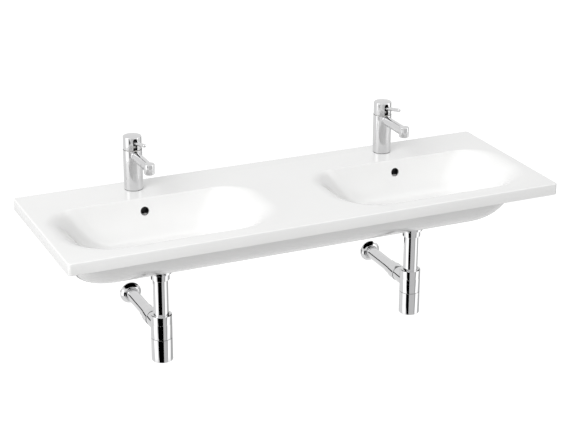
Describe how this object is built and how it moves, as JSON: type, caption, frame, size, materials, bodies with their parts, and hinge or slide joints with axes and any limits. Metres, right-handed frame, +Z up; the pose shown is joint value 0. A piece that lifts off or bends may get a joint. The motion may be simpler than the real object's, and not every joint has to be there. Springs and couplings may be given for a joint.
{
  "type": "double washbasin",
  "caption": "Wall-hung fireclay washbasin with a bowl at each end, pin-lever mixer taps, pop-up wastes and chromed bottle traps to the wall.",
  "frame": {"origin": "on the wall, on the basin's centre line, at the level of the wall fixing holes, 65 mm below the deck", "axes": "+X to the right as the user faces the basin, +Y into the wall, +Z up"},
  "size_m": [1.3, 0.46, 0.5438],
  "materials": {
    "glazed_white": "glossy white glaze",
    "chrome": "bright chrome plate on brass",
    "brass": "turned, uncoated",
    "steel": "zinc plated",
    "rubber": "matt black",
    "cartridge_plastic": "moulded acetal"
  },
  "bodies": {
    "basin": {"basin": "glazed_white", "tap_base_seals": "rubber", "tap_cartridge_nuts": "brass", "tap_slide_rings": "cartridge_plastic", "tap_studs": "brass", "tap_clamp_pads": "rubber", "tap_clamp_washers": "steel", "tap_stud_nuts": "brass", "waste_top_seals": "rubber", "waste_lower_seals": "rubber", "waste_plug_guides": "cartridge_plastic", "trap_inlet_seals": "rubber", "trap_union_seals": "rubber", "trap_cup_seals": "rubber", "trap_outlet_seals": "rubber", "left_tap_body": "chrome", "left_tap_cartridge": "cartridge_plastic", "left_tap_aerator": "chrome", "left_waste_body": "chrome", "left_waste_back_nut": "chrome", "left_trap_collar_nut": "chrome", "left_trap_inlet_tube": "chrome", "left_trap_union_nut": "chrome", "left_trap_bottle": "chrome", "left_trap_cup": "chrome", "left_trap_outlet_nut": "chrome", "left_outlet_pipe": "chrome", "right_tap_body": "chrome", "right_tap_cartridge": "cartridge_plastic", "right_tap_aerator": "chrome", "right_waste_body": "chrome", "right_waste_back_nut": "chrome", "right_trap_collar_nut": "chrome", "right_trap_inlet_tube": "chrome", "right_trap_union_nut": "chrome", "right_trap_bottle": "chrome", "right_trap_cup": "chrome", "right_trap_outlet_nut": "chrome", "right_outlet_pipe": "chrome"},
    "left_tap_turn": {"left_tap_handle": "chrome", "left_tap_turret": "steel", "left_tap_pivot_pin": "steel"},
    "left_tap_tilt": {"left_tap_lever": "chrome", "left_tap_lever_stem": "steel"},
    "left_plug": {"left_waste_plug": "chrome", "left_waste_plug_seal": "rubber"},
    "left_rose": {"left_wall_rose": "chrome"},
    "right_tap_turn": {"right_tap_handle": "chrome", "right_tap_turret": "steel", "right_tap_pivot_pin": "steel"},
    "right_tap_tilt": {"right_tap_lever": "chrome", "right_tap_lever_stem": "steel"},
    "right_plug": {"right_waste_plug": "chrome", "right_waste_plug_seal": "rubber"},
    "right_rose": {"right_wall_rose": "chrome"}
  },
  "joints": [
    {"name": "left_tap_temperature", "type": "hinge", "parent": "basin", "child": "left_tap_turn", "pos_m": [-0.352, -0.056, 0.187], "axis": [0, 0, 1], "range_deg": [-50, 50]},
    {"name": "left_tap_flow", "type": "hinge", "parent": "left_tap_turn", "child": "left_tap_tilt", "pos_m": [-0.352, -0.056, 0.187], "axis": [-1, 0, 0], "range_deg": [0, 11]},
    {"name": "left_plug_lift", "type": "slide", "parent": "basin", "child": "left_plug", "axis": [0, 0, 1], "range_m": [0, 0.008]},
    {"name": "left_rose_slide", "type": "slide", "parent": "basin", "child": "left_rose", "axis": [0, -1, 0], "range_m": [0, 0.06]},
    {"name": "right_tap_temperature", "type": "hinge", "parent": "basin", "child": "right_tap_turn", "pos_m": [0.352, -0.056, 0.187], "axis": [0, 0, 1], "range_deg": [-50, 50]},
    {"name": "right_tap_flow", "type": "hinge", "parent": "right_tap_turn", "child": "right_tap_tilt", "pos_m": [0.352, -0.056, 0.187], "axis": [-1, 0, 0], "range_deg": [0, 11]},
    {"name": "right_plug_lift", "type": "slide", "parent": "basin", "child": "right_plug", "axis": [0, 0, 1], "range_m": [0, 0.008]},
    {"name": "right_rose_slide", "type": "slide", "parent": "basin", "child": "right_rose", "axis": [0, -1, 0], "range_m": [0, 0.06]}
  ]
}
